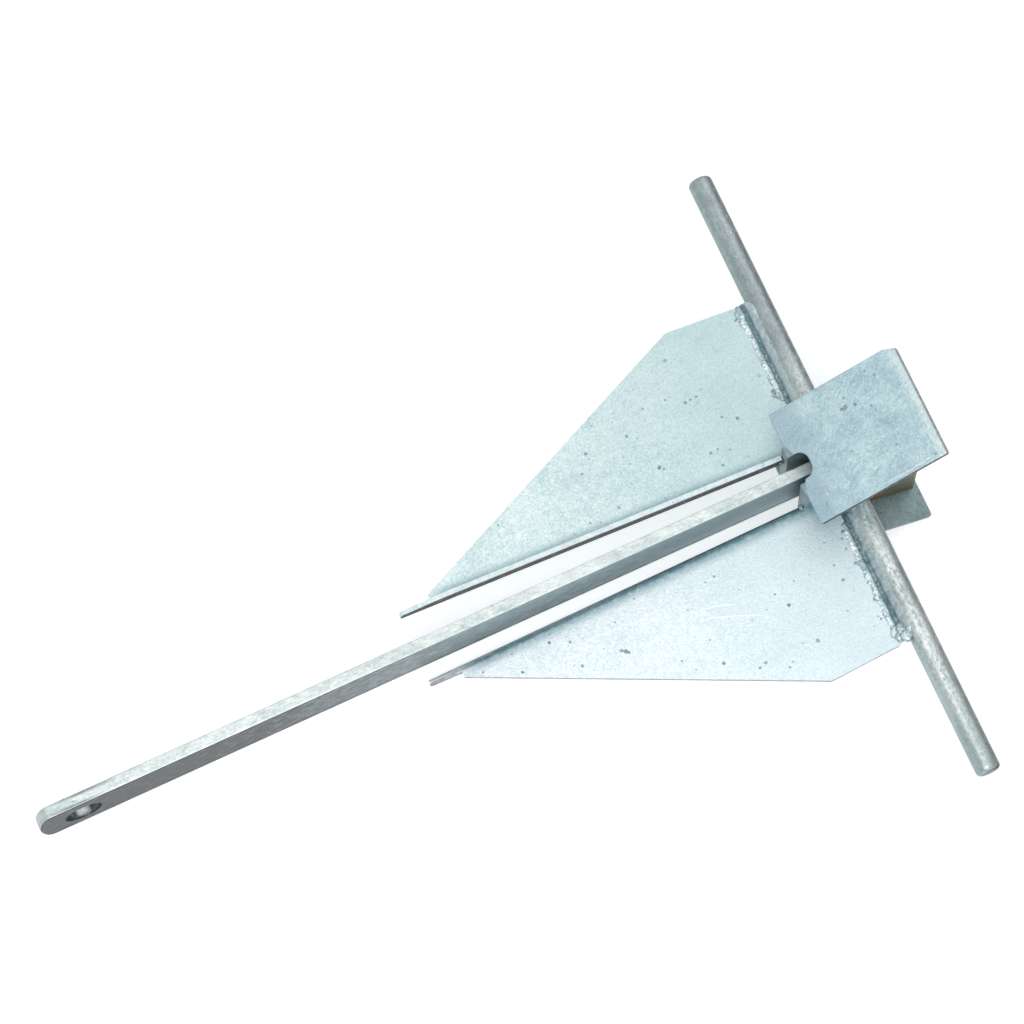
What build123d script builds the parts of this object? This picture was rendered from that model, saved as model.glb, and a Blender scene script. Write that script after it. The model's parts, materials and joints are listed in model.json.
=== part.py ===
from build123d import *
from math import asin, atan2, cos, hypot, radians, sin, sqrt, tan
import os

# Stock, the round rod across the crown that the shank swings on
stock_dia = 16.0
stock_length = 427.0
stock_rim = 3.2

# Flukes, folded from plate, one the other turned over
plate_t = 3.0
fluke_rear_x = 12.8
fluke_inner_y = 14.2
fluke_rear_y = 121.2
fluke_shoulder_x = 63.1
fluke_shoulder_y = 124.5
fluke_tip_x = 269.0
fluke_tip_y = 29.0
fluke_corner_r = 4.0

# Inner flange of a fluke, running on past the plate as a blunt finger
fold_gap = 0.8
fold_angle = 1.5
bend_r = 5.0
flange_height = 14.4
taper_x = 258.0
finger_x = 290.6
finger_height = 10.4
finger_r = 4.0

# Crown box, two inclined notched plates on two webs
crown_t = 3.5
crown_front_x = 31.8
crown_front_z = 33.2
crown_rear_x = -51.0
crown_rear_z = 71.0
crown_half_width = 38.6
crown_corner_r = 1.6
crown_clip_side = 8.5
crown_clip_rear = 3.0
crown_shift = -2.1
crown_edge_r = 0.8
notch_half = 8.4
notch_depth = 11.3
notch_r = 6.6
mouth_half = 16.0
mouth_depth = 3.6
mouth_r = 1.0
web_t = 8.0
web_outer_y = 17.4
web_inset = 2.4

# Shank, one flat bar with an eye
shank_t = 8.0
shank_height = 40.0
shank_end_x = 538.5
shank_shift = -3.0
shank_skew = 2.3
shank_corner_r = 7.0
shank_nose = 5.0
shank_edge_r = 1.0
eye_dia = 23.5
eye_x = 515.5
bore_clearance = 0.3

# Weld beads between the stock and the rear edges of the flukes
bead_r = 4.0
bead_wave = 0.5
bead_turn = 2.4
bead_ribs = 11
bead_right_from = 33.0
bead_right_to = 119.0
bead_left_from = 54.0
bead_left_to = 121.0

# Derived sizes of the crown plates
crown_rise = crown_rear_z - crown_front_z
crown_run = crown_front_x - crown_rear_x
crown_incline = atan2(crown_rise, crown_run)
crown_length = hypot(crown_rise, crown_run)

# Rest attitude, on the lower crown plate's rear edge and one finger
foot_turn = cos(crown_incline) + sin(crown_incline)
foot_x = crown_rear_x + crown_edge_r * (2 * cos(crown_incline) - foot_turn)
foot_z = crown_edge_r * foot_turn - crown_rear_z
nose_slope = atan2(flange_height - finger_height, finger_x - taper_x)
nose_x = finger_x - finger_r
nose_drop = finger_height + finger_r * tan(nose_slope) - plate_t / 2
nose_z = finger_r / cos(nose_slope) - nose_drop
nose_reach = hypot(nose_x - foot_x, nose_z - foot_z)
nose_rise = atan2(nose_z - foot_z, nose_x - foot_x)
pitch = nose_rise - asin((finger_r - crown_edge_r) / nose_reach)
pivot_height = crown_edge_r + foot_x * sin(pitch) - foot_z * cos(pitch)

# Rest angle of the shank, its eye end down on the ground
skew_cos = cos(radians(shank_skew))
skew_sin = sin(radians(shank_skew))
nose_arc_r = (shank_height**2 / 4 + shank_nose**2) / (2 * shank_nose)
nose_arc_x = shank_end_x + shank_nose - nose_arc_r
heel_z = shank_height / 2 - shank_corner_r
heel_x = (nose_arc_x + sqrt((nose_arc_r - shank_corner_r) ** 2 - heel_z**2)) * skew_cos
heel_drop = asin((pivot_height - shank_corner_r) / hypot(heel_x, heel_z))
shank_droop = heel_drop - atan2(heel_z, heel_x)

# Reach before and behind the pivot, to centre the part on its origin
shank_cos = cos(shank_droop) * skew_cos
nose_arc_reach = nose_arc_r * hypot(shank_cos, sin(shank_droop))
front_reach = nose_arc_x * shank_cos + nose_arc_reach + shank_t / 2 * skew_sin
rear_x = crown_rear_x - crown_t * sin(crown_incline)
rear_z = crown_t * cos(crown_incline) - crown_rear_z
rear_reach = -rear_x * cos(pitch) - rear_z * sin(pitch)
pivot_x = (rear_reach - front_reach) / 2

# Planes of the flukes and the shank in the rest attitude
pivot = Vector(pivot_x, crown_shift, pivot_height)
along = Vector(cos(pitch), 0, -sin(pitch))
normal = Vector(sin(pitch), 0, cos(pitch))
fluke_plane = Plane(origin=pivot, x_dir=along, z_dir=normal)
side_plane = Plane(origin=pivot, x_dir=along, z_dir=(0, -1, 0))
turn_axis = Axis(pivot, along)
shank_pivot = Vector(pivot_x, shank_shift, pivot_height)
shank_along = Vector(shank_cos, skew_sin, -sin(shank_droop) * skew_cos)
shank_across = Vector(cos(shank_droop) * skew_sin, -skew_cos, -sin(shank_droop) * skew_sin)
shank_plane = Plane(origin=shank_pivot, x_dir=shank_along, z_dir=shank_across)

# Plane square to the fold of a fluke, at the rear end of its flange
fold_start_x = crown_front_x + fold_gap
fold_cos = cos(radians(fold_angle))
fold_sin = sin(radians(fold_angle))
fold_origin = pivot + along * fold_start_x + Vector(0, fluke_inner_y, 0)
fold_along = along * fold_cos + Vector(0, fold_sin, 0)
fold_across = Vector(0, fold_cos, 0) - along * fold_sin
fold_plane = Plane(origin=fold_origin, x_dir=fold_across, z_dir=fold_along)
fold_length = (finger_x - fold_start_x) / fold_cos
flange_bottom = plate_t / 2 - flange_height
bend_inner_r = bend_r - plate_t

# Corner points of a fluke in plan, along the fold
fold_slope = fold_sin / fold_cos
neck_x = fluke_tip_x + 4.0
neck_y = fluke_inner_y + (neck_x - fold_start_x) * fold_slope + plate_t
finger_y = fluke_inner_y + (finger_x - fold_start_x) * fold_slope
bend_start_y = fluke_inner_y + bend_r
bend_end_y = fluke_inner_y + (fluke_tip_x - fold_start_x) * fold_slope + bend_r

# Stock
with BuildPart() as stock:
    with BuildSketch(Plane.XZ.offset(-stock_length / 2)):
        with Locations((pivot_x, pivot_height)):
            Circle(stock_dia / 2)
    extrude(amount=stock_length)
    fillet(stock.edges().filter_by(GeomType.CIRCLE), stock_rim)

# Right fluke, flange turned down
with BuildPart() as fluke_right:
    with BuildSketch(fluke_plane.offset(-plate_t / 2)):
        with BuildLine():
            Polyline(
                (fluke_rear_x, web_outer_y),
                (fluke_rear_x, fluke_rear_y),
                (fluke_shoulder_x, fluke_shoulder_y),
                (fluke_tip_x, fluke_tip_y),
                (fluke_tip_x, bend_end_y),
                (fold_start_x, bend_start_y),
                (fold_start_x, web_outer_y),
                close=True,
            )
        make_face()
    extrude(amount=plate_t)
    with BuildSketch(fold_plane):
        with BuildLine():
            Line((0, flange_bottom), (0, plate_t / 2 - bend_r))
            RadiusArc((0, plate_t / 2 - bend_r), (bend_r, plate_t / 2), bend_r)
            Line((bend_r, plate_t / 2), (bend_r, -plate_t / 2))
            RadiusArc((bend_r, -plate_t / 2), (plate_t, plate_t / 2 - bend_r), -bend_inner_r)
            Line((plate_t, plate_t / 2 - bend_r), (plate_t, flange_bottom))
            Line((plate_t, flange_bottom), (0, flange_bottom))
        make_face()
    extrude(amount=fold_length)
    with BuildSketch(fluke_plane) as fluke_outline:
        with BuildLine():
            Polyline(
                (fluke_rear_x, web_outer_y),
                (fluke_rear_x, fluke_rear_y),
                (fluke_shoulder_x, fluke_shoulder_y),
                (fluke_tip_x, fluke_tip_y),
                (neck_x, neck_y),
                (finger_x, finger_y + plate_t),
                (finger_x, finger_y),
                (fold_start_x, fluke_inner_y),
                (fold_start_x, web_outer_y),
                close=True,
            )
        make_face()
        fillet(fluke_outline.vertices().sort_by(Axis.Y)[-2:], fluke_corner_r)
    extrude(amount=flange_height, both=True, mode=Mode.INTERSECT)
    with BuildSketch(side_plane) as fluke_side:
        with BuildLine():
            Polyline(
                (0, plate_t / 2),
                (0, flange_bottom),
                (taper_x, flange_bottom),
                (finger_x, plate_t / 2 - finger_height),
                (finger_x, plate_t / 2),
                close=True,
            )
        make_face()
        fillet(fluke_side.vertices().sort_by(Axis.X)[-2:], finger_r)
    extrude(amount=-2 * fluke_shoulder_y, mode=Mode.INTERSECT)

# Left fluke, the same part turned over
turned_fluke = fluke_right.part.rotate(turn_axis, 180)
with BuildPart() as fluke_left:
    add(turned_fluke)

# Upper crown plate
crown_slope = Vector(cos(pitch + crown_incline), 0, -sin(pitch + crown_incline))
crown_normal = Vector(sin(pitch + crown_incline), 0, cos(pitch + crown_incline))
crown_origin = pivot + along * crown_front_x + normal * crown_front_z
crown_plane = Plane(origin=crown_origin, x_dir=crown_slope, z_dir=crown_normal)
with BuildPart() as crown_plate_upper:
    with BuildSketch(crown_plane) as crown_outline:
        with BuildLine():
            Polyline(
                (-crown_length, crown_clip_rear - crown_half_width),
                (crown_clip_side - crown_length, -crown_half_width),
                (0, -crown_half_width),
                (0, crown_half_width),
                (-crown_length, crown_half_width),
                close=True,
            )
        make_face()
        fillet(crown_outline.vertices(), crown_corner_r)
    extrude(amount=-crown_t)
    with BuildSketch(crown_plane) as notch_outline:
        with BuildLine():
            Polyline(
                (mouth_depth, -2 * mouth_half),
                (0, -mouth_half),
                (-mouth_depth, -notch_half),
                (-notch_depth, -notch_half),
                (-notch_depth, notch_half),
                (-mouth_depth, notch_half),
                (0, mouth_half),
                (mouth_depth, 2 * mouth_half),
                close=True,
            )
        make_face()
        fillet(notch_outline.vertices().sort_by(Axis.X)[:2], notch_r)
        fillet(notch_outline.vertices().sort_by(Axis.X)[4:6], mouth_r)
    extrude(amount=-crown_t, mode=Mode.SUBTRACT)
    outer_face = crown_plate_upper.faces().sort_by(Axis(pivot, crown_normal))[-1]
    fillet(outer_face.outer_wire().edges(), crown_edge_r)

# Lower crown plate, the mirror of the upper one
with BuildPart() as crown_plate_lower:
    mirror(crown_plate_upper.part, about=fluke_plane)

# Webs between the crown plates, one each side of the shank
web_rear_x = crown_rear_x + web_inset
crown_inner_z = crown_front_z - crown_t / cos(crown_incline)
web_rear_z = crown_inner_z + (crown_run - web_inset) * tan(crown_incline)
with BuildPart() as crown_web_right:
    with BuildSketch(side_plane.offset(-web_outer_y)):
        with BuildLine():
            Polyline(
                (crown_front_x, crown_inner_z),
                (web_rear_x, web_rear_z),
                (web_rear_x, -web_rear_z),
                (crown_front_x, -crown_inner_z),
                close=True,
            )
        make_face()
        Circle(stock_dia / 2, mode=Mode.SUBTRACT)
    extrude(amount=web_t)

# Left web, across the middle of the crown
with BuildPart() as crown_web_left:
    mirror(crown_web_right.part, about=side_plane)

# Shank, bored to swing on the stock and lying a little askew in its clearance
shank_half = shank_height / 2
with BuildPart() as shank:
    with BuildSketch(shank_plane.offset(-shank_t / 2)) as shank_outline:
        with BuildLine():
            Line((0, shank_half), (shank_end_x, shank_half))
            ThreePointArc(
                (shank_end_x, shank_half),
                (shank_end_x + shank_nose, 0),
                (shank_end_x, -shank_half),
            )
            Line((shank_end_x, -shank_half), (0, -shank_half))
            ThreePointArc((0, -shank_half), (-shank_half, 0), (0, shank_half))
        make_face()
        fillet(shank_outline.vertices().group_by(Axis.X)[-1], shank_corner_r)
    extrude(amount=shank_t)
    right_side = shank.faces().sort_by(Axis.Y)[-1]
    left_side = shank.faces().sort_by(Axis.Y)[0]
    rim = right_side.outer_wire().edges() + left_side.outer_wire().edges()
    fillet(rim, shank_edge_r)
    with BuildSketch(shank_plane.offset(-shank_t / 2)):
        Circle(stock_dia / 2 + bore_clearance)
        with Locations((eye_x, 0)):
            Circle(eye_dia / 2)
    extrude(amount=shank_t, mode=Mode.SUBTRACT)

# Weld beads, ribbed bars filling the gap between stock and flukes
bead_x = (stock_dia / 2 + fluke_rear_x) / 2
right_step = (bead_right_to - bead_right_from) / bead_ribs
with BuildPart() as weld_right:
    for rib in range(bead_ribs):
        rib_r = bead_r + bead_wave * cos(rib * bead_turn)
        with BuildSketch(side_plane.offset(-bead_right_from - rib * right_step)):
            with Locations((bead_x, 0)):
                Circle(rib_r)
            Circle(stock_dia / 2, mode=Mode.SUBTRACT)
            with Locations((fluke_rear_x + bead_r, 0)):
                Rectangle(2 * bead_r, plate_t, mode=Mode.SUBTRACT)
        extrude(amount=-right_step)

left_step = (bead_left_to - bead_left_from) / bead_ribs
with BuildPart() as weld_left:
    for rib in range(bead_ribs):
        rib_r = bead_r + bead_wave * sin(rib * bead_turn)
        with BuildSketch(side_plane.offset(bead_left_from + rib * left_step)):
            with Locations((bead_x, 0)):
                Circle(rib_r)
            Circle(stock_dia / 2, mode=Mode.SUBTRACT)
            with Locations((fluke_rear_x + bead_r, 0)):
                Rectangle(2 * bead_r, plate_t, mode=Mode.SUBTRACT)
        extrude(amount=left_step)

stock.part.label = "stock"
fluke_right.part.label = "fluke_right"
fluke_left.part.label = "fluke_left"
crown_plate_upper.part.label = "crown_plate_upper"
crown_plate_lower.part.label = "crown_plate_lower"
crown_web_right.part.label = "crown_web_right"
crown_web_left.part.label = "crown_web_left"
shank.part.label = "shank"
weld_right.part.label = "weld_right"
weld_left.part.label = "weld_left"

os.makedirs("parts", exist_ok=True)
export_step(stock.part, "parts/stock.step")
export_step(fluke_right.part, "parts/fluke_right.step")
export_step(fluke_left.part, "parts/fluke_left.step")
export_step(crown_plate_upper.part, "parts/crown_plate_upper.step")
export_step(crown_plate_lower.part, "parts/crown_plate_lower.step")
export_step(crown_web_right.part, "parts/crown_web_right.step")
export_step(crown_web_left.part, "parts/crown_web_left.step")
export_step(shank.part, "parts/shank.step")
export_step(weld_right.part, "parts/weld_right.step")
export_step(weld_left.part, "parts/weld_left.step")
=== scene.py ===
"""Dresses the packed sand anchor in hot-dip zinc and sets it on a plain pale stage."""

import json
import math

import bmesh
import bpy
from bpy.props import (
    FloatProperty,
    FloatVectorProperty,
    IntProperty,
    PointerProperty,
    StringProperty,
)
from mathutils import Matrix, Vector, noise


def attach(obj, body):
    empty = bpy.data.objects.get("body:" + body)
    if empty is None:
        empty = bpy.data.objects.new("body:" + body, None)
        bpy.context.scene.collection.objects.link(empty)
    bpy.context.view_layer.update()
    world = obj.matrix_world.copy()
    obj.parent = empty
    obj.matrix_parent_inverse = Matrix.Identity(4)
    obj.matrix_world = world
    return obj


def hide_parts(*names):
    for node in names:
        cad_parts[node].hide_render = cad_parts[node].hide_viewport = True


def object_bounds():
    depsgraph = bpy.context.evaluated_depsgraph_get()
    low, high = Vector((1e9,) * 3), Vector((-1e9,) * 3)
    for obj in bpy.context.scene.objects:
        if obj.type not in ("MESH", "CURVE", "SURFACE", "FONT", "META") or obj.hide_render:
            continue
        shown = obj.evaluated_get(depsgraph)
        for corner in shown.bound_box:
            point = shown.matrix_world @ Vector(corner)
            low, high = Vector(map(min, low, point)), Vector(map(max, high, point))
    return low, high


bl_info = {
    "name": "Sand Anchor Dressing",
    "version": (1, 0, 0),
    "blender": (4, 5, 0),
    "location": "3D View > Sidebar > Anchor",
    "description": "Zinc finishes, weld beads and the stage for the sand anchor",
    "category": "Object",
}

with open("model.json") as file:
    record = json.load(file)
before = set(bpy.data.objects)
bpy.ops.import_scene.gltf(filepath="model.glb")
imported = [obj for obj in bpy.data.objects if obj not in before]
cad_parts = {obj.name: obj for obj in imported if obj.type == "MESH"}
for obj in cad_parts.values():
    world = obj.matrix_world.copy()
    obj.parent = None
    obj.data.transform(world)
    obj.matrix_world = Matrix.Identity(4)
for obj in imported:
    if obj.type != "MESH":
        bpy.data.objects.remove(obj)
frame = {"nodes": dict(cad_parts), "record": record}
cad_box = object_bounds()
pivot = Vector(frame["record"]["behaviour"]["joints"][0]["pos_m"])
shackle_eye = Vector(frame["record"]["mounts"][0]["pos_m"])

# Slopes at rest: the flukes' plane goes down to their tips, the upper crown plate goes down
# to its front edge more steeply, and the shank goes down to its eye
FLUKE_SLOPE = math.radians(10.3076)
CROWN_SLOPE = FLUKE_SLOPE + math.radians(24.537)
SHANK_SLOPE = math.radians(4.363)
# Where the middle between the flukes lies across the frame, in metres
MIDDLE = -0.0021


def on_slope(start, slope, x, y, z):
    """A point in millimetres down a slope from its start, across it and off it."""
    down = Vector((math.cos(slope), 0, -math.sin(slope)))
    off = Vector((math.sin(slope), 0, math.cos(slope)))
    return start + down * (x / 1000) + Vector((0, y / 1000, 0)) + off * (z / 1000)


def on_flukes(x, y, z):
    """A point in millimetres along, across and off the flukes' plane, from the stock."""
    return on_slope(Vector((pivot.x, MIDDLE, pivot.z)), FLUKE_SLOPE, x, y, z)


def on_crown(x, y, z):
    """The same from the upper crown plate's front edge, with x below zero on the plate."""
    return on_slope(on_flukes(31.8, 0, 33.2), CROWN_SLOPE, x, y, z)


ALONG = on_flukes(1000, 0, 0) - on_flukes(0, 0, 0)
OFF_PLANE = on_flukes(0, 0, 1000) - on_flukes(0, 0, 0)
UP_CROWN = on_crown(-1000, 0, 0) - on_crown(0, 0, 0)

# What every zinc coat starts from, with the patterns' sizes in millimetres
COAT = dict(
    cloud=35.0,  # soft mottle
    patch=4.0,  # smaller patches, which also make the relief's waves
    grit=1.4,  # grain, drawn coarser than the real one so that it shows
    weights=(0.2, 0.3, 0.5),  # shares of cloud, patch and grit in the tone
    spread=0.1,  # swing of the tone between dark and pale, smaller for more contrast
    wrinkle=0.4,  # how much the patches are drawn out and bent
    speck_gap=5.5,  # distance from one place for an ash speck to the next
    speck_share=0.14,  # share of the places that hold one
    speck=0.5,  # how dark a speck is
    runs=0.5,  # relief of the patches
    fine=0.6,  # relief of the grit
    bump=0.4,
    rough=0.45,
    metal=0.7,
    stretch=(1.0, 1.0, 1.0),
    turn=(0.0, 0.0, 0.0),
    stains=(),
)
ASH = "#5F6F73"
# Height in metres of the relief at full strength
RELIEF = 0.0006

# Pits in millimetres: along, across, radius
PITS_LEFT = (
    (70.7, -107.8, 1.5), (81.5, -83.8, 0.9), (70.7, -76.9, 1.6), (66.8, -77.4, 1.0),
    (62.8, -77.7, 0.9), (53.5, -58.8, 0.9), (45.0, -54.2, 1.5), (103.3, -44.5, 1.6),
    (101.0, -42.6, 1.0), (69.9, -39.7, 1.3), (64.6, -40.4, 0.8), (66.1, -29.5, 1.2),
    (113.6, -71.7, 1.1), (141.8, -71.9, 1.3), (149.2, -60.6, 0.9), (137.1, -31.0, 1.1),
    (157.8, -29.4, 0.9), (210.9, -52.1, 0.7), (96.8, -84.2, 0.8),
)
PITS_RIGHT = (
    (212.2, 30.7, 1.3), (200.3, 35.6, 1.0), (173.4, 53.8, 1.4), (171.2, 55.4, 1.6),
    (169.6, 56.6, 1.1), (199.6, 52.7, 1.3), (257.3, 31.1, 1.0), (234.9, 41.2, 1.1),
    (119.0, 87.2, 1.4), (95.4, 97.4, 1.3), (100.0, 99.0, 1.1), (60.3, 97.9, 1.5),
    (66.8, 70.0, 1.5), (29.5, 69.2, 1.3), (120.7, 70.1, 0.8),
)
PITS_CROWN = (
    (-48.3, -23.9, 1.2), (-46.2, -18.1, 2.2), (-43.7, -18.4, 1.3), (-52.6, -16.9, 1.5),
    (-38.0, 8.0, 0.8), (-20.0, -14.0, 0.7), (-9.0, 29.0, 1.0),
)
# Each group with its surface and how far the plate's face lies off it
PITS = (
    ("pits_left", on_flukes, 1.5, PITS_LEFT),
    ("pits_right", on_flukes, 1.5, PITS_RIGHT),
    ("pits_crown", on_crown, 0.0, PITS_CROWN),
)
PIT_SIDES = 14
# Rings of a pit from its middle out: share of the radius, height off the face
PIT_MIDDLE = 0.03
PIT_RINGS = ((0.45, 0.04), (0.7, 0.2), (0.88, 0.14), (1.0, -0.1))

# Lumps of zinc by the welds and the fold's end: along, across, above the flukes' plane, radius
LUMPS = (
    (33.2, -15.2, 6.5, 1.8), (33.6, -16.4, 2.2, 1.6), (33.4, 15.6, 1.2, 1.5),
    (15.2, -57.0, 1.9, 1.9), (17.0, -60.5, 1.6, 1.3), (13.6, -54.0, 1.8, 1.7),
    (18.2, -57.6, 1.5, 0.9), (16.4, -117.0, 1.7, 1.6), (14.4, -120.2, 1.6, 1.4),
    (18.6, -113.6, 1.5, 0.8), (14.0, 37.5, 1.8, 1.5), (16.4, 41.5, 1.6, 1.2),
    (18.8, 45.0, 1.5, 0.8), (17.6, 63.0, 1.5, 1.1), (17.0, 88.5, 1.5, 1.0),
    (10.3, 112.6, 3.3, 3.7), (9.5, 117.3, 3.7, 3.6), (12.8, 116.2, 2.2, 2.9),
    (14.6, 110.5, 1.6, 1.7), (20.4, -74.0, 1.5, 0.9), (19.2, 52.0, 1.5, 0.7),
)

# Runs of zinc: surface, how far the face lies off it, half width, height, path along and across
RUNS = {
    "run_long": (
        (on_flukes, 1.48, 0.5, 0.14),
        ((136.6, 50.2), (125.1, 49.9), (110.0, 51.6), (98.3, 55.4), (87.4, 61.8)),
    ),
    "run_short": (
        (on_flukes, 1.48, 0.4, 0.12),
        ((128.9, 55.2), (113.2, 58.1), (93.4, 65.0), (81.6, 71.0), (73.8, 76.2)),
    ),
    "ridge_rear": (
        (on_crown, 0.0, 1.6, 0.22),
        ((-85.5, -30.0), (-86.0, -8.0), (-85.6, 14.0), (-85.0, 33.0)),
    ),
    "ridge_right": (
        (on_crown, 0.0, 1.1, 0.2),
        ((-84.0, 34.5), (-66.0, 35.9), (-44.0, 35.6)),
    ),
    "run_crown": (
        (on_crown, 0.0, 0.7, 0.3),
        ((-10.6, 21.4), (-12.4, 23.6), (-11.0, 25.4)),
    ),
}
RUN_STEP = 1.2
RUN_SIDES = 8

# Weld beads in millimetres across: start, end, where the rim on the plate begins and over
# what length it rises, because it stops short of the crown
BEADS = {
    "weld_right": (31.0, 119.5, 36.0, 6.0),
    "weld_left": (-122.5, -36.0, 50.0, 4.0),
}
BEAD_STEP = 0.5
# Upper half of a bead's section: thin edge on the plate, rim, hollow, then up the stock's side
BEAD_HALF = (
    (16.6, 1.35), (15.6, 1.9), (14.6, 2.3), (13.4, 2.0), (12.2, 1.2), (11.0, 0.8), (10.0, 1.4),
    (9.1, 2.5), (8.1, 3.6), (7.1, 4.6), (6.2, 5.35), (5.2, 6.1), (4.0, 6.5),
)
# Its rim lies from here to its thin edge
BEAD_RIM = 12.8
BEAD_EDGE, BEAD_EDGE_HEIGHT = BEAD_HALF[0]
# It closes on this line over a length at each end, and is thicker about its outer end
BEAD_CORE = 10.5
BEAD_CLOSE = 6.5
BEAD_SWELL_AT, BEAD_SWELL_LENGTH, BEAD_SWELL = 114.0, 7.0, 2.2


def linear(code):
    """An sRGB hex colour as linear RGBA."""
    parts = [int(code[i : i + 2], 16) / 255 for i in (1, 3, 5)]
    return [c / 12.92 if c <= 0.04045 else ((c + 0.055) / 1.055) ** 2.4 for c in parts] + [1.0]


def fresh_tree(owner):
    """The node tree of a new material or world, emptied."""
    owner.use_nodes = True
    owner.node_tree.nodes.clear()
    return owner.node_tree


def add(tree, kind, sockets=None, **settings):
    """Adds a node, sets its attributes, and links or sets its sockets."""
    made = tree.nodes.new(kind)
    for name, value in settings.items():
        setattr(made, name, value)
    for socket, source in (sockets or {}).items():
        if isinstance(source, bpy.types.NodeSocket):
            tree.links.new(source, made.inputs[socket])
        else:
            made.inputs[socket].default_value = source
    return made


def between(heading, clear, full):
    """A stain's limit: none of it at the clear point, all of it at the full one."""
    heading = Vector(heading)
    return "DOT_PRODUCT", "Object", heading, heading.dot(clear), heading.dot(full)


def facing(heading, clear, full):
    """A stain's limit by how squarely a face looks along a heading."""
    return "DOT_PRODUCT", "Normal", heading, clear, full


def around(centre, radius):
    """A stain's limit: none of it beyond a radius in millimetres, all of it in a third of that."""
    return "DISTANCE", "Object", centre, radius / 1000, radius / 3000


def stain_and_shade(tree, coat, ragged, stains):
    """Lays colour over a coat for stain, painted shade and painted highlight, each a colour, a
    strength and its limits, with ragged edges.
    """
    coord = add(tree, "ShaderNodeTexCoord")
    for colour, strength, *limits in stains:
        sockets = {0: ragged, 1: 0.4 * strength, 2: 0.6 * strength}
        share = add(tree, "ShaderNodeMath", sockets, operation="MULTIPLY_ADD").outputs[0]
        for measure, source, way, clear, full in limits:
            sockets = {0: coord.outputs[source], 1: way}
            reach = add(tree, "ShaderNodeVectorMath", sockets, operation=measure)
            sockets = {"Value": reach.outputs["Value"], "From Min": clear, "From Max": full}
            fade = add(tree, "ShaderNodeMapRange", sockets, interpolation_type="SMOOTHSTEP")
            sockets = {0: fade.outputs["Result"], 1: share}
            share = add(tree, "ShaderNodeMath", sockets, operation="MULTIPLY").outputs[0]
        sockets = {"Factor": share, "A": coat, "B": linear(colour)}
        coat = add(tree, "ShaderNodeMix", sockets, data_type="RGBA").outputs["Result"]
    return coat


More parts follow.
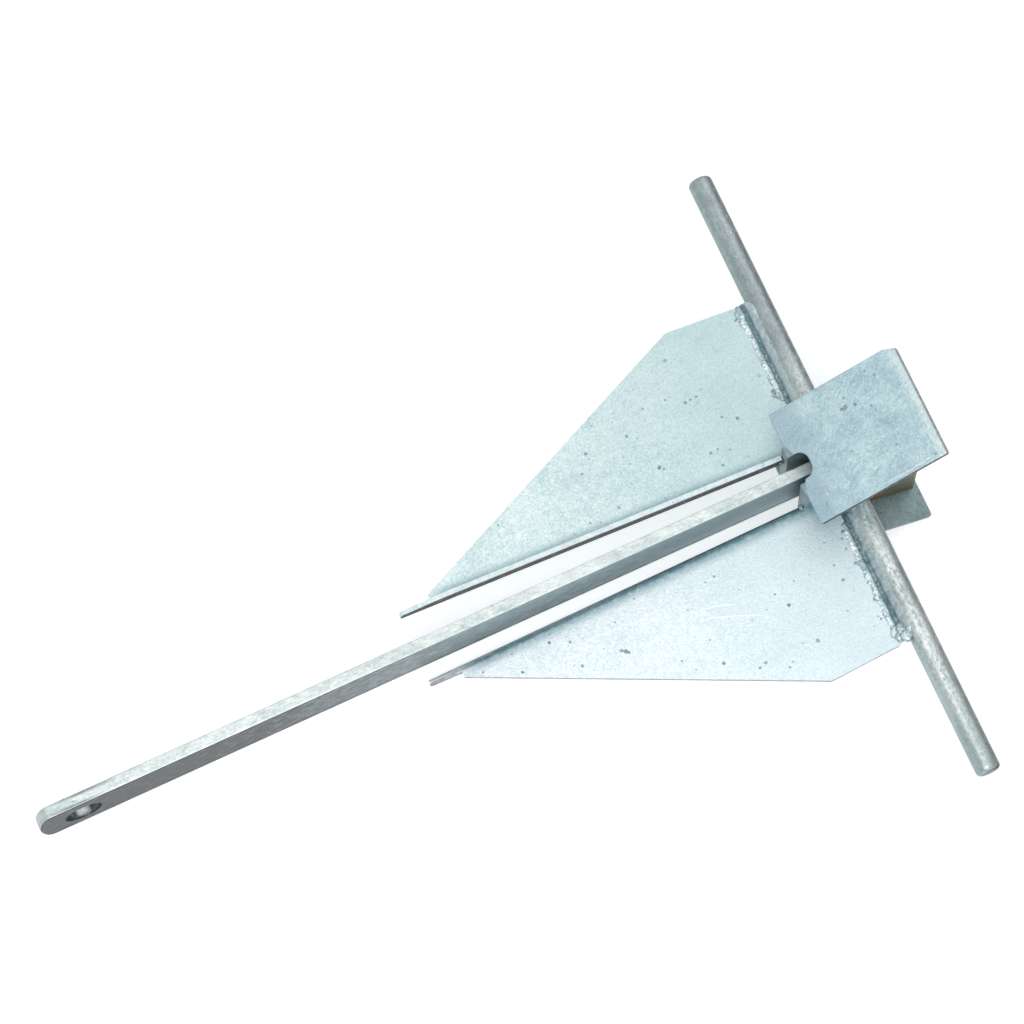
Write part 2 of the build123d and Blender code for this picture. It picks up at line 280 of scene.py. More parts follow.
def zinc(name, pale, dark, **changes):
    """Hot-dip zinc: dull bluish coat with cloudy mottle, grain, ash specks and runs, with stain,
    painted shade and painted highlight laid over it.
    """
    look = dict(COAT, **changes)
    mat = bpy.data.materials.new(name)
    tree = fresh_tree(mat)
    place = add(tree, "ShaderNodeTexCoord").outputs["Object"]
    sockets = {"Vector": place, "Rotation": look["turn"], "Scale": look["stretch"]}
    vector = add(tree, "ShaderNodeMapping", sockets).outputs["Vector"]

    # Cloudy mottle, smaller patches with wrinkles, and grit, weighed into one tone
    layers = {
        "cloud": {"Detail": 4.0, "Roughness": 0.6},
        "patch": {"Detail": 5.0, "Roughness": 0.65, "Distortion": look["wrinkle"]},
        "grit": {"Detail": 3.0, "Roughness": 0.6},
    }
    levels, tone = {}, 0.0
    for (layer, sockets), weight in zip(layers.items(), look["weights"]):
        sockets.update({"Vector": vector, "Scale": 1000 / look[layer]})
        levels[layer] = add(tree, "ShaderNodeTexNoise", sockets).outputs["Fac"]
        sockets = {0: levels[layer], 1: weight, 2: tone}
        tone = add(tree, "ShaderNodeMath", sockets, operation="MULTIPLY_ADD").outputs[0]
    patch, grit = levels["patch"], levels["grit"]
    ends = {"From Min": 0.5 - look["spread"], "From Max": 0.5 + look["spread"]}
    swing = add(tree, "ShaderNodeMapRange", {"Value": tone, **ends}).outputs["Result"]
    sockets = {"Factor": swing, "A": linear(dark), "B": linear(pale)}
    coat = add(tree, "ShaderNodeMix", sockets, data_type="RGBA").outputs["Result"]

    # The patches also break up the edges of the stain, the painted shade and the painted highlight
    sockets = {"Value": patch, "From Min": 0.36, "From Max": 0.56}
    ragged = add(tree, "ShaderNodeMapRange", sockets).outputs["Result"]
    coat = stain_and_shade(tree, coat, ragged, look["stains"])

    # Ash specks, under 2 mm across and sparse, darker and sunk a little
    cell = add(tree, "ShaderNodeTexVoronoi", {"Vector": vector, "Scale": 1000 / look["speck_gap"]})
    draw = add(tree, "ShaderNodeSeparateColor", {"Color": cell.outputs["Color"]}).outputs["Red"]
    sockets = {0: draw, 1: 1.0 - look["speck_share"]}
    chosen = add(tree, "ShaderNodeMath", sockets, operation="GREATER_THAN").outputs[0]
    sockets = {"Value": cell.outputs["Distance"], "From Min": 0.16, "From Max": 0.07}
    near = add(tree, "ShaderNodeMapRange", sockets).outputs["Result"]
    speck = add(tree, "ShaderNodeMath", {0: near, 1: chosen}, operation="MULTIPLY").outputs[0]
    sockets = {0: speck, 1: look["speck"]}
    share = add(tree, "ShaderNodeMath", sockets, operation="MULTIPLY").outputs[0]
    sockets = {"Factor": share, "A": coat, "B": linear(ASH)}
    coat = add(tree, "ShaderNodeMix", sockets, data_type="RGBA").outputs["Result"]

    # Relief: soft waves where the zinc ran, grain on top, specks as small pits
    waves = add(tree, "ShaderNodeMath", {0: patch, 1: look["runs"]}, operation="MULTIPLY")
    sockets = {0: grit, 1: look["fine"], 2: waves.outputs[0]}
    grain = add(tree, "ShaderNodeMath", sockets, operation="MULTIPLY_ADD")
    height = add(tree, "ShaderNodeMath", {0: grain.outputs[0], 1: speck}, operation="SUBTRACT")
    sockets = {"Height": height.outputs[0], "Strength": look["bump"], "Distance": RELIEF}
    bump = add(tree, "ShaderNodeBump", sockets)

    # The patches are a little more and less dull
    ends = {"To Min": look["rough"] - 0.08, "To Max": look["rough"] + 0.1}
    dull = add(tree, "ShaderNodeMapRange", {"Value": patch, **ends})
    sockets = {"Base Color": coat, "Roughness": dull.outputs["Result"]}
    sockets.update({"Normal": bump.outputs["Normal"], "Metallic": look["metal"]})
    skin = add(tree, "ShaderNodeBsdfPrincipled", sockets)
    add(tree, "ShaderNodeOutputMaterial", {"Surface": skin.outputs["BSDF"]})
    return mat


def looked_at(tree):
    """One where the camera, a reflection or a clear body looks, and zero for plain light."""
    path = add(tree, "ShaderNodeLightPath")
    seen = path.outputs["Is Camera Ray"]
    for ray in ("Is Glossy Ray", "Is Transmission Ray"):
        sockets = {0: seen, 1: path.outputs[ray]}
        seen = add(tree, "ShaderNodeMath", sockets, operation="MAXIMUM").outputs[0]
    return seen


def dress(node, mat):
    """Gives a CAD node a finish."""
    slots = frame["nodes"][node].material_slots
    if not slots:
        frame["nodes"][node].data.materials.append(mat)
    for held in slots:
        held.material = mat


def piece(name, verts, faces, mat, body):
    """Makes a smooth mesh at the origin, outward faces, one finish, riding on a body."""
    mesh = bpy.data.meshes.new(name)
    mesh.from_pydata([tuple(v) for v in verts], [], faces)
    mesh.update()
    bm = bmesh.new()
    bm.from_mesh(mesh)
    bmesh.ops.recalc_face_normals(bm, faces=bm.faces)
    bm.to_mesh(mesh)
    bm.free()
    obj = bpy.data.objects.new(name, mesh)
    bpy.context.collection.objects.link(obj)
    obj.data.materials.append(mat)
    for face in obj.data.polygons:
        face.use_smooth = True
    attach(obj, body)
    return obj


def smooth_path(corners, step):
    """Points about one step apart on a smooth curve through the corners."""
    ends = [corners[0]] + list(corners) + [corners[-1]]
    points = []
    for a, b, c, d in zip(ends, ends[1:], ends[2:], ends[3:]):
        count = max(2, int(math.dist(b, c) / step))
        for i in range(count):
            t = i / count
            points.append([spline(a[n], b[n], c[n], d[n], t) for n in (0, 1)])
    return points + [list(corners[-1])]


def spline(a, b, c, d, t):
    """Catmull-Rom value between b and c."""
    return b + 0.5 * t * (c - a + t * (2 * a - 5 * b + 4 * c - d + t * (3 * (b - c) + d - a)))


def tube_faces(rings, count):
    """Faces that join rings of points into a tube with closed ends."""
    faces = []
    for i in range(rings - 1):
        for j in range(count):
            a, b = i * count + j, i * count + (j + 1) % count
            faces.append((a, b, b + count, a + count))
    faces.append(tuple(range(count)))
    faces.append(tuple((rings - 1) * count + j for j in range(count)))
    return faces


def fluke_stains(side, rear, within):
    """Colour laid on a fluke, whose side is 1 for the right one and -1 for the left one: a darker
    tone towards the crown, painted shade on the fold's back, the flange's face towards the shank
    and the outer cut edge, and a painted highlight on the flange's lip.
    """
    across = Vector((0, side, 0))
    dull = (rear, 0.5, between(-ALONG, on_flukes(190, 0, 0), on_flukes(25, 0, 0)))
    # Painted shade: the fold's rounded back is darkened for about 7 mm, as far as the finger
    fold = on_flukes(32.6, side * 14.2, 0)
    off_fold = across - ALONG * math.tan(math.radians(1.5))
    back = between(off_fold, fold + across * 0.012, fold + across * 0.0035)
    plate = between(-ALONG, on_flukes(272, 0, 0), on_flukes(255, 0, 0))
    fold_shade = ("#6A929D", 0.85, back, plate)
    # Painted shade: the flange's face towards the shank is darkened
    inner = (within, 1.3, facing(-across, 0.55, 0.9))
    # The plate's cut edge on the outer side gets painted shade too, and the flange's upper edge a
    # pale painted highlight
    cut = between(OFF_PLANE, on_flukes(0, 0, 4), on_flukes(0, 0, 2))
    outer = ("#5A5560", 0.8, facing((0.2, side * 0.98, 0), 0.6, 0.85), cut)
    lip_highlight = ("#E9F2F3", 0.8, between(OFF_PLANE, on_flukes(0, 0, 10.9), on_flukes(0, 0, 12.3)))
    return dull, fold_shade, inner, outer, lip_highlight


def bead_points(start, end, rim_from, rim_rise, lumps, seed):
    """Rings of points along a weld bead, lumpy, with a ragged rim and closed ends."""
    section = [(x, z, 1.0) for x, z in BEAD_HALF]
    section += [(x, z, -1.0) for x, z in reversed(BEAD_HALF)]
    steps = int((end - start) / BEAD_STEP)
    verts = []
    for i in range(steps + 1):
        y = start + (end - start) * i / steps
        outer = max(0.0, 1.0 - abs(abs(y) - BEAD_SWELL_AT) / BEAD_SWELL_LENGTH)
        rim = min(1.0, max(0.0, (abs(y) - rim_from) / rim_rise))
        close = max(0.0, 1.0 - min(y - start, end - y) / BEAD_CLOSE)
        shrink = math.sqrt(max(0.0004, 1.0 - close**2.2))
        for j, (x, z, turn) in enumerate(section):
            # Lumps fade out where the section begins and ends, on the plate and on the stock
            seat = math.sin(math.pi * min(j, len(section) - 1 - j) / (len(BEAD_HALF) - 1))
            probe = Vector((x / 2.2 + seed, y / 5.0, turn * 7.0))
            lump = noise.noise(probe) + 0.7 * noise.noise(probe * 2.6)
            lump += 0.4 * noise.noise(probe * 6.3)
            wide = 0.0
            if x > BEAD_RIM:
                wander = noise.noise(Vector((seed + 9.0, y / 7.0, turn)))
                bite = noise.noise(Vector((seed + 4.0, y / 1.7, turn)))
                spread = 1.6 * wander + 1.5 * bite + 1.6 * outer
                wide = spread * (x - BEAD_RIM) / (BEAD_EDGE - BEAD_RIM)
                wide -= (1.0 - rim) * (x - BEAD_RIM)
                z = BEAD_EDGE_HEIGHT + (z - BEAD_EDGE_HEIGHT) * (0.25 + 0.75 * rim)
            high = z + lumps * lump * seat * (0.4 + 0.6 * rim) + BEAD_SWELL * outer * seat
            out = BEAD_CORE + (x + wide - BEAD_CORE) * shrink
            verts.append(on_flukes(out, y, turn * max(0.3, high) * shrink))
    return verts, steps + 1


def pits_mesh(surface, face, pits):
    """Small craters on a face, each a shallow middle in a raised, uneven ring."""
    verts, faces = [], []
    for x, y, radius in pits:
        base = len(verts)
        radius *= 0.85
        verts.append(surface(x, y, face + PIT_MIDDLE))
        for share, height in PIT_RINGS:
            for k in range(PIT_SIDES):
                turn = 2 * math.pi * k / PIT_SIDES
                probe = Vector((x + math.cos(turn), y + math.sin(turn), radius))
                r = radius * share * (1 + 0.35 * noise.noise(probe))
                out = (x + r * math.cos(turn), y + r * math.sin(turn))
                verts.append(surface(*out, face + height))
        for k in range(PIT_SIDES):
            a, b = base + 1 + k, base + 1 + (k + 1) % PIT_SIDES
            faces.append((base, a, b))
            for ring in range(len(PIT_RINGS) - 1):
                inner, outer = ring * PIT_SIDES, (ring + 1) * PIT_SIDES
                faces.append((a + inner, b + inner, b + outer, a + outer))
    return verts, faces


def lumps_mesh(lumps):
    """Uneven balls of zinc, wider across than along and flattened."""
    joined = bmesh.new()
    for x, y, z, radius in lumps:
        ball = bmesh.ops.create_icosphere(joined, subdivisions=3, radius=1.0)
        for vert in ball["verts"]:
            r = radius * (1 + 0.3 * noise.noise(vert.co * 1.1 + Vector((x, y, z))))
            along, across, up = vert.co.x * r, vert.co.y * r * 1.3, vert.co.z * r * 0.6
            vert.co = on_flukes(x + along, y + across, z + up)
    joined.verts.index_update()
    verts = [vert.co.copy() for vert in joined.verts]
    faces = [tuple(vert.index for vert in face.verts) for face in joined.faces]
    joined.free()
    return verts, faces


def run_mesh(surface, face, width, height, path):
    """A low half-round run along a path on a face, thin at both ends, its edges just sunk in."""
    points = smooth_path(path, RUN_STEP)
    last = len(points) - 1
    verts = []
    for i, (x, y) in enumerate(points):
        ahead, behind = points[min(i + 1, last)], points[max(i - 1, 0)]
        heading = math.atan2(ahead[1] - behind[1], ahead[0] - behind[0])
        taper = math.sqrt(max(0.0, math.sin(math.pi * i / last))) + 0.02
        swell = 1 + 0.6 * noise.noise(Vector((x / 3.5, y / 3.5, width)))
        for k in range(RUN_SIDES + 1):
            turn = math.pi * k / RUN_SIDES
            out = width * taper * swell * math.cos(turn)
            up = height * taper * swell * math.sin(turn) - 0.05
            side = (x - out * math.sin(heading), y + out * math.cos(heading))
            verts.append(surface(*side, face + up))
    return verts, tube_faces(last + 1, RUN_SIDES + 1)


def drops_tree(drops):
    """Nodes that scatter low frozen drops over the faces that look up, below the very top."""
    tree = bpy.data.node_groups.new("zinc_drops", "GeometryNodeTree")
    tree.interface.new_socket("Geometry", in_out="INPUT", socket_type="NodeSocketGeometry")
    for label, value in (("Density", drops.density), ("Radius", drops.radius)):
        made = tree.interface.new_socket(label, in_out="INPUT", socket_type="NodeSocketFloat")
        made.default_value = value
    tree.interface.new_socket("Finish", in_out="INPUT", socket_type="NodeSocketMaterial")
    tree.interface.new_socket("Geometry", in_out="OUTPUT", socket_type="NodeSocketGeometry")
    entry = add(tree, "NodeGroupInput").outputs

    normal = add(tree, "GeometryNodeInputNormal").outputs["Normal"]
    tilt = add(tree, "ShaderNodeSeparateXYZ", {"Vector": normal}).outputs["Z"]
    up = add(tree, "FunctionNodeCompare", {"A": tilt, "B": 0.5}, operation="GREATER_THAN")
    where = add(tree, "GeometryNodeInputPosition").outputs["Position"]
    height = add(tree, "ShaderNodeSeparateXYZ", {"Vector": where}).outputs["Z"]
    # Nothing within 3 mm of the top, so that no drop stands past the solids' box
    sockets = {"A": height, "B": cad_box[1][2] - 0.003}
    low = add(tree, "FunctionNodeCompare", sockets, operation="LESS_THAN")
    sockets = {0: up.outputs["Result"], 1: low.outputs["Result"]}
    both = add(tree, "FunctionNodeBooleanMath", sockets, operation="AND")
    sockets = {"Mesh": entry["Geometry"], "Density": entry["Density"]}
    sockets.update({"Selection": both.outputs[0], "Seed": drops.seed})
    spots = add(tree, "GeometryNodeDistributePointsOnFaces", sockets)

    ball = add(tree, "GeometryNodeMeshIcoSphere", {"Radius": entry["Radius"], "Subdivisions": 2})
    sockets = {2: 0.25, 3: 1.0, "Seed": drops.seed + 1}
    size = add(tree, "FunctionNodeRandomValue", sockets, data_type="FLOAT").outputs[1]
    flat = add(tree, "ShaderNodeMath", {0: size, 1: 0.45}, operation="MULTIPLY").outputs[0]
    shape = add(tree, "ShaderNodeCombineXYZ", {"X": size, "Y": size, "Z": flat})
    sockets = {"Points": spots.outputs["Points"], "Instance": ball.outputs["Mesh"]}
    sockets.update({"Rotation": spots.outputs["Rotation"], "Scale": shape.outputs["Vector"]})
    placed = add(tree, "GeometryNodeInstanceOnPoints", sockets).outputs["Instances"]
    real = add(tree, "GeometryNodeRealizeInstances", {"Geometry": placed}).outputs["Geometry"]
    smooth = add(tree, "GeometryNodeSetShadeSmooth", {"Geometry": real}).outputs["Geometry"]
    sockets = {"Geometry": smooth, "Material": entry["Finish"]}
    coated = add(tree, "GeometryNodeSetMaterial", sockets).outputs["Geometry"]
    add(tree, "NodeGroupOutput", {"Geometry": coated})
    return tree


class AnchorFinish(bpy.types.PropertyGroup):
    """Colours of the zinc on each kind of piece."""

    left_pale: StringProperty(
        name="Left pale", description="Pale zinc on the left fluke", default="#E1EDEC"
    )
    left_dark: StringProperty(
        name="Left dark", description="Darker cloud on the left fluke", default="#B3CCCF"
    )
    right_pale: StringProperty(
        name="Right pale", description="Pale zinc on the right fluke", default="#F1F6F9"
    )
    right_dark: StringProperty(
        name="Right dark", description="Darker cloud on the right fluke", default="#CBDCE1"
    )
    crown_pale: StringProperty(
        name="Crown pale", description="Pale zinc on the upper crown plate", default="#C4DBDD"
    )
    crown_dark: StringProperty(
        name="Crown dark", description="Darker cloud on the upper crown plate", default="#96B1BD"
    )
    bar_pale: StringProperty(
        name="Bar pale", description="Pale zinc on the stock", default="#E4EBE9"
    )
    bar_dark: StringProperty(
        name="Bar dark", description="Darker cloud on the stock", default="#9DABA9"
    )
    shank_pale: StringProperty(
        name="Shank pale", description="Pale zinc on the shank", default="#E9F0EE"
    )
    shank_dark: StringProperty(
        name="Shank dark", description="Darker cloud on the shank", default="#B3C1C0"
    )


class AnchorWeld(bpy.types.PropertyGroup):
    """Sizes of the weld beads along the stock."""

    lumps: FloatProperty(
        name="Lumps", description="How far the bead's lumps stand", default=0.0009, unit="LENGTH"
    )
    seed: IntProperty(name="Seed", description="Which run of lumps", default=5)


class AnchorPimples(bpy.types.PropertyGroup):
    """Small drops of zinc frozen on the surface."""

    density: FloatProperty(
        name="Density", description="Drops for each square metre", default=1500.0
    )
    radius: FloatProperty(
        name="Radius", description="Largest radius of a drop", default=0.0008, unit="LENGTH"
    )
    seed: IntProperty(name="Seed", description="Which scatter of drops", default=3)


class AnchorStage(bpy.types.PropertyGroup):
    """The camera, the lamps and the floor."""

    lens: FloatProperty(name="Lens", description="Focal length", default=111.05, unit="CAMERA")
    camera_at: FloatVectorProperty(
        name="Camera",
        description="Where the camera stands",
        default=(0.43081, 0.48363, 1.87776),
        subtype="TRANSLATION",
        unit="LENGTH",
    )
    camera_turn: FloatVectorProperty(
        name="Turn",
        description="How the camera is turned",
        default=[math.radians(angle) for angle in (20.2258, -6.621, 156.2508)],
        subtype="EULER",
        unit="ROTATION",
    )
    key: FloatProperty(
        name="Key", description="Strength of the soft overhead lamp", default=22.0, unit="POWER"
    )
    fill: FloatProperty(
        name="Fill", description="Strength of the even light all round", default=0.4
    )
    floor: StringProperty(name="Floor", description="Colour of the floor", default="#FAFAFA")
    floor_lift: FloatProperty(
        name="Floor lift", description="White added where the floor is looked at", default=0.5
    )


class ANCHOR_OT_plates(bpy.types.Operator):
    """Finishes the flukes, the crown plates and the webs"""

    bl_idname = "anchor.plates"
    bl_label = "Finish plates"

    def execute(self, context):
        finish = context.scene.anchor_finish
        # Zinc on flat plate: pale and nearly even, with wide soft clouds and a dull sheen
        # Each fluke: side, pale, dark, a darker tone towards the crown, and the painted shade on
        # the flange's face towards the shank, deep on the left and milder on the right
        flukes = {
            "fluke_left": (-1, finish.left_pale, finish.left_dark, "#A3C1C4", "#332E31"),
            "fluke_right": (1, finish.right_pale, finish.right_dark, "#B4CDD2", "#7F8D91"),
        }
        for node, (side, pale, dark, rear, within) in flukes.items():
            stains = fluke_stains(side, rear, within)
            dress(node, zinc("zinc_" + node, pale, dark, stains=stains))

        # On the crown it is thick and wrinkled: darker, patchy and rough to look at
        rough = dict(cloud=16.0, patch=7.0, grit=1.3, weights=(0.36, 0.38, 0.26), spread=0.12)
        rough.update(wrinkle=2.2, runs=1.2, bump=0.75, turn=(0.0, 0.0, 0.5), speck_share=0.05)
        # Bluer to the front edge, paler towards the rear one, with a dark brim, and painted shade
        # on the right side face
        front = ("#8FA6B3", 0.6, between(-UP_CROWN, on_crown(-30, 0, 0), on_crown(-2, 0, 0)))
        back = ("#DCE8E6", 0.55, between(UP_CROWN, on_crown(-83, 0, 0), on_crown(-87, 0, 0)))
        brim = ("#6A5B62", 0.8, between(UP_CROWN, on_crown(-89.6, 0, 0), on_crown(-90.8, 0, 0)))
        side = ("#36434A", 1.0, facing((0, 1, 0), 0.5, 0.9))
        # The right web's outer face turns dark olive low down, with rust by the stock
        low = between((0, 0, -1), (0, 0, 0.055), (0, 0, 0.032))
        olive = ("#6A6446", 1.0, facing((0, 1, 0), 0.5, 0.9), low)
        rust = ("#9A6A2A", 0.85, around(on_flukes(-21, 17.4, -44), 9.0))
        upper = (finish.crown_pale, finish.crown_dark, (front, back, brim, side))
        # The lower plate and the webs get darker copies of the crown's zinc, painted shade for
        # lying inside the crown
        crown = {
            "crown_plate_upper": ("zinc_crown_upper", *upper),
            "crown_plate_lower": ("zinc_crown_lower_shaded", "#93A5A4", "#697B7E", ()),
            "crown_web_left": ("zinc_web_left_shaded", "#9FB0B4", "#7E8E92", ()),
            "crown_web_right": ("zinc_web_right_shaded", "#A9BCC0", "#748890", (olive, rust)),
        }
        for node, (name, pale, dark, stains) in crown.items():
            dress(node, zinc(name, pale, dark, stains=stains, **rough))
        return {"FINISHED"}


class ANCHOR_OT_bars(bpy.types.Operator):
    """Finishes the stock and the shank"""

    bl_idname = "anchor.bars"
    bl_label = "Finish bars"

    def execute(self, context):
        finish = context.scene.anchor_finish
        # Zinc on round bar: smoother than on plate, so a brighter stripe runs along the stock,
        # between a dark rear and a greyer front that are painted shade; painted shade also darkens
        # the end face and the left end, and the right tip turns greyer
        rear = ("#4F5859", 0.85, facing((-1, 0, 0), -0.1, 0.7))
        fore_shade = ("#78908F", 0.5, facing((1, 0, 0), 0.3, 0.85))
        end = ("#2A2E2E", 1.1, facing((-0.45, 0.89, 0), 0.6, 0.9))
        shade = ("#77858A", 0.7, between((0, -1, 0), (0, -0.03, 0), (0, -0.10, 0)))
        tip = ("#98A5A8", 0.5, between((0, 1, 0), (0, 0.13, 0), (0, 0.19, 0)))
        bar = dict(cloud=20.0, weights=(0.3, 0.3, 0.4), spread=0.08, speck_gap=5.0, runs=0.7)
        bar.update(bump=0.45, rough=0.31, stretch=(1.4, 0.6, 1.4))
        bar.update(stains=(shade, tip, rear, fore_shade, end))
        dress("stock", zinc("zinc_round_bar", finish.bar_pale, finish.bar_dark, **bar))

        # Zinc on flat bar: drawn out along the shank, pale on top; painted shade greys its side,
        # deepens towards the eye and lies along the lower edge, and painted light eases the side
        # by the crown
        to_eye = Vector((math.cos(SHANK_SLOPE), 0, -math.sin(SHANK_SLOPE)))
        down = Vector((-math.sin(SHANK_SLOPE), 0, -math.cos(SHANK_SLOPE)))
        flank = facing((0, 1, 0), 0.5, 0.9)
        side = ("#87999E", 1.0, flank)
        eye_end_shade = ("#454B4C", 1.4, between(to_eye, to_eye * -0.05, to_eye * 0.24), flank)
        lit = ("#9FB6BE", 0.6, between(-to_eye, to_eye * -0.06, to_eye * -0.2), flank)
        sole_shade = ("#30393B", 0.65, between(down, pivot + down * 0.012, pivot + down * 0.019))
        # Painted shade darkens the bore's wall but for a bright patch low in the middle
        bore_shade = ("#465154", 1.2, around(shackle_eye, 36.0))
        bore_shade += (facing((0, 1, 0), 0.5, 0.2), facing((0, -1, 0), 0.5, 0.2))
        above = facing((0.1, 0, 0.995), 1.0, 0.88)
        mouths = [
            between(way, shackle_eye + way * 0.001, shackle_eye + way * 0.0035)
            for way in (Vector((0, 1, 0)), Vector((0, -1, 0)))
        ]
        eye = tuple(bore_shade + (limit,) for limit in (above, *mouths))
        flat = dict(cloud=24.0, weights=(0.3, 0.4, 0.3), spread=0.11, runs=0.6, rough=0.42)
        flat.update(stretch=(0.6, 1.2, 1.2), turn=(0.0, 0.0, 0.6))
        flat.update(stains=(side, eye_end_shade, lit, sole_shade) + eye)
        dress("shank", zinc("zinc_flat_bar", finish.shank_pale, finish.shank_dark, **flat))
        return {"FINISHED"}


class ANCHOR_OT_welds(bpy.types.Operator):
    """Makes the hollow, lumpy weld beads between the stock and the flukes"""

    bl_idname = "anchor.welds"
    bl_label = "Make weld beads"

    def execute(self, context):
        weld = context.scene.anchor_weld
        # Zinc on a weld: mottled pale and grey at close range, with painted shade in dark blue
        # along the groove
        hollow = ("#476A75", 0.9, between(-ALONG, on_flukes(13.4, 0, 0), on_flukes(12.0, 0, 0)))
        upper = ("#D2DFE0", 0.65, between(-ALONG, on_flukes(10.0, 0, 0), on_flukes(8.4, 0, 0)))
        look = dict(cloud=9.0, patch=3.4, grit=1.2, weights=(0.35, 0.4, 0.25), spread=0.07)
        look.update(wrinkle=1.5, runs=1.0, fine=0.3, bump=0.6, rough=0.4)
        mat = zinc("zinc_weld_bead", "#EDF5F6", "#88A4AC", stains=(hollow, upper), **look)
        for node, ends in BEADS.items():
            verts, rings = bead_points(*ends, weld.lumps * 1000, weld.seed)
            faces = tube_faces(rings, 2 * len(BEAD_HALF))
            bead = piece("bead_" + node[5:], verts, faces, mat, "flukes")
            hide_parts(node)
        return {"FINISHED"}


class ANCHOR_OT_marks(bpy.types.Operator):
    """Sets the pits, the lumps and the frozen runs of zinc on the flukes and the crown"""

    bl_idname = "anchor.marks"
    bl_label = "Set pits, lumps and runs"

    def execute(self, context):
        # Ash in the zinc leaves small grey craters
        ash = zinc("zinc_ash_pit", "#A3B6BA", "#6C8389", cloud=6.0, patch=2.0, bump=0.6)
        for name, surface, face, pits in PITS:
            verts, faces = pits_mesh(surface, face, pits)
            piece(name, verts, faces, ash, "flukes")

        # Lumps are mottled and duller than the plate
        look = dict(cloud=5.0, patch=3.0, bump=0.3, rough=0.5)
        lumpy = zinc("zinc_lump", "#CFDBDD", "#6C8890", **look)
        verts, faces = lumps_mesh(LUMPS)
        piece("lumps_flukes", verts, faces, lumpy, "flukes")

        # Runs on the flukes are smooth and almost white, and the crown's are as blue as it is
        pale = zinc("zinc_frozen_run", "#F3F8F8", "#DCE8EB", cloud=9.0, bump=0.2)
        ridge = zinc("zinc_crown_ridge", "#D0DFDF", "#A6BBC1", cloud=9.0, patch=2.5)
        for name, (shape, path) in RUNS.items():
            verts, faces = run_mesh(*shape, path)
            mat = ridge if shape[0] is on_crown else pale
            piece(name, verts, faces, mat, "flukes")
        return {"FINISHED"}


class ANCHOR_OT_pimples(bpy.types.Operator):
    """Scatters small frozen drops of zinc over the upward faces"""

    bl_idname = "anchor.pimples"
    bl_label = "Scatter zinc drops"

    def execute(self, context):
        drops = context.scene.anchor_pimples
        tree = drops_tree(drops)
        inputs = [item for item in tree.interface.items_tree if item.in_out == "INPUT"]
        sockets = {item.name: item.identifier for item in inputs}
        # Body, nodes, slot and how much denser the drops are than on the plates
        plates = ("fluke_left", "fluke_right", "crown_plate_upper")
        groups = {
            "drops_flukes": ("flukes", plates, "zinc_plate", 1.0),
            "drops_stock": ("flukes", ("stock",), "zinc_bar", 1.4),
            "drops_shank": ("shank", ("shank",), "zinc_shank", 1.2),
        }
        for name, (body, nodes, slot, more) in groups.items():
            joined = bmesh.new()
            for node in nodes:
                joined.from_mesh(frame["nodes"][node].data)
            mesh = bpy.data.meshes.new(name)
            joined.to_mesh(mesh)
            joined.free()
            carrier = bpy.data.objects.new(name, mesh)
            context.collection.objects.link(carrier)
            finish = frame["nodes"][nodes[0]].material_slots[0].material
            mod = carrier.modifiers.new("drops", "NODES")
            mod.node_group = tree
            mod[sockets["Density"]] = drops.density * more
            mod[sockets["Radius"]] = drops.radius
            mod[sockets["Finish"]] = finish
            context.view_layer.update()
            evaluated = carrier.evaluated_get(context.evaluated_depsgraph_get())
            scattered = bpy.data.meshes.new_from_object(evaluated)
            carrier.modifiers.remove(mod)
            carrier.data = scattered
            if not scattered.materials:
                scattered.materials.append(finish)
            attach(carrier, body)
        return {"FINISHED"}


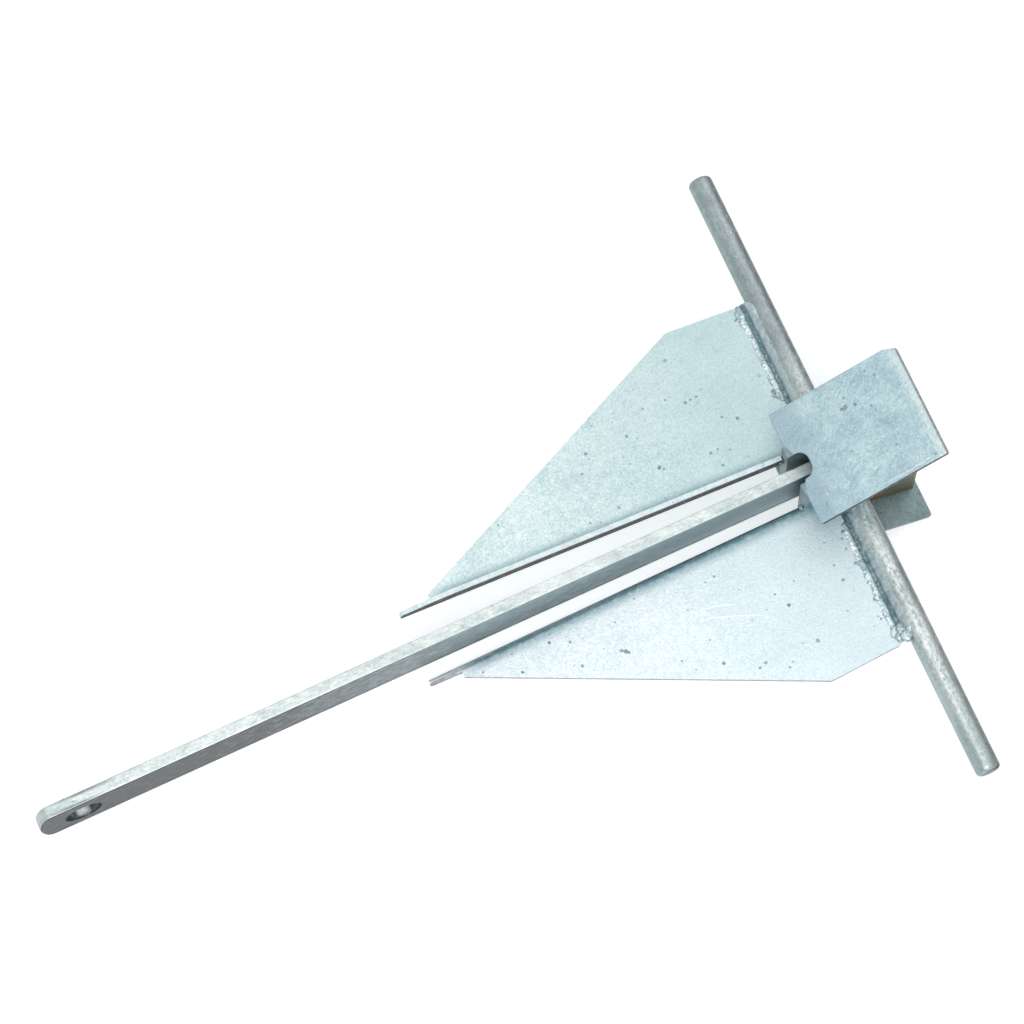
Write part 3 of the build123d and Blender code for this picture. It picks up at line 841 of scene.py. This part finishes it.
class ANCHOR_OT_stage(bpy.types.Operator):
    """Sets the floor, the soft lamps and the camera"""

    bl_idname = "anchor.stage"
    bl_label = "Set the stage"

    def execute(self, context):
        stage = context.scene.anchor_stage
        context.scene.view_settings.view_transform = "Standard"

        # Matte floor that is lifted to white where it is looked at, and lights nothing more
        floor_mat = bpy.data.materials.new("pale_floor")
        tree = fresh_tree(floor_mat)
        matte = add(tree, "ShaderNodeBsdfDiffuse", {"Color": linear(stage.floor)}).outputs[0]
        sockets = {"Color": linear("#FFFFFF"), "Strength": stage.floor_lift}
        glow = add(tree, "ShaderNodeEmission", sockets).outputs[0]
        both = add(tree, "ShaderNodeAddShader", {0: matte, 1: glow}).outputs[0]
        sockets = {0: looked_at(tree), 1: matte, 2: both}
        plain = add(tree, "ShaderNodeMixShader", sockets)
        add(tree, "ShaderNodeOutputMaterial", {"Surface": plain.outputs[0]})
        mesh = bpy.data.meshes.new("floor")
        mesh.from_pydata([(-6, -6, 0), (6, -6, 0), (6, 6, 0), (-6, 6, 0)], [], [(0, 1, 2, 3)])
        floor = bpy.data.objects.new("floor", mesh)
        floor.location.z = cad_box[0][2] - 0.0002
        context.collection.objects.link(floor)
        mesh.materials.append(floor_mat)

        # White behind the object, and a weaker bluish light from all round
        world = bpy.data.worlds.new("studio")
        context.scene.world = world
        tree = fresh_tree(world)
        sockets = {"Color": linear("#F4F8FF"), "Strength": stage.fill}
        even = add(tree, "ShaderNodeBackground", sockets)
        sockets = {"Color": linear("#FFFFFF"), "Strength": 1.0}
        white = add(tree, "ShaderNodeBackground", sockets)
        sockets = {0: looked_at(tree), 1: even.outputs[0], 2: white.outputs[0]}
        sky = add(tree, "ShaderNodeMixShader", sockets)
        add(tree, "ShaderNodeOutputWorld", {"Surface": sky.outputs[0]})

        # Place, aim, width and strength of the square lamps
        lamps = (
            ("key", (0.62, 0.75, 2.1), (0.05, 0.05, 0.05), 1.5, stage.key),
            ("side", (-1.1, -0.9, 1.5), (0.0, 0.0, 0.05), 1.4, stage.key * 0.2),
        )
        for name, at, aim, size, power in lamps:
            lamp = bpy.data.lights.new(name, "AREA")
            lamp.size = size
            lamp.energy = power
            obj = bpy.data.objects.new(name, lamp)
            context.collection.objects.link(obj)
            obj.location = at
            obj.rotation_euler = (Vector(aim) - Vector(at)).to_track_quat("-Z", "Y").to_euler()

        camera = bpy.data.cameras.new("photo_view")
        camera.lens = stage.lens
        camera.sensor_width = 36
        camera.clip_end = 50
        holder = bpy.data.objects.new("photo_view", camera)
        holder.location = stage.camera_at
        holder.rotation_euler = stage.camera_turn
        context.collection.objects.link(holder)
        context.scene.camera = holder
        return {"FINISHED"}


class ANCHOR_PT_panel(bpy.types.Panel):
    """Lists the anchor's finishing steps"""

    bl_label = "Sand anchor"
    bl_idname = "ANCHOR_PT_panel"
    bl_space_type = "VIEW_3D"
    bl_region_type = "UI"
    bl_category = "Anchor"

    def draw(self, context):
        for step in STEPS:
            self.layout.operator("anchor." + step)
        for group in GROUPS:
            settings = getattr(context.scene, group)
            for name in settings.__annotations__:
                self.layout.prop(settings, name)


STEPS = ("plates", "bars", "welds", "marks", "pimples", "stage")
GROUPS = {
    "anchor_finish": AnchorFinish,
    "anchor_weld": AnchorWeld,
    "anchor_pimples": AnchorPimples,
    "anchor_stage": AnchorStage,
}
CLASSES = tuple(GROUPS.values()) + (
    ANCHOR_OT_plates,
    ANCHOR_OT_bars,
    ANCHOR_OT_welds,
    ANCHOR_OT_marks,
    ANCHOR_OT_pimples,
    ANCHOR_OT_stage,
    ANCHOR_PT_panel,
)


def register():
    for cls in CLASSES:
        bpy.utils.register_class(cls)
    for name, group in GROUPS.items():
        setattr(bpy.types.Scene, name, PointerProperty(type=group))


def unregister():
    for name in GROUPS:
        delattr(bpy.types.Scene, name)
    for cls in reversed(CLASSES):
        bpy.utils.unregister_class(cls)


def main():
    register()
    for step in STEPS:
        getattr(bpy.ops.anchor, step)()


if __name__ == "__main__":
    main()
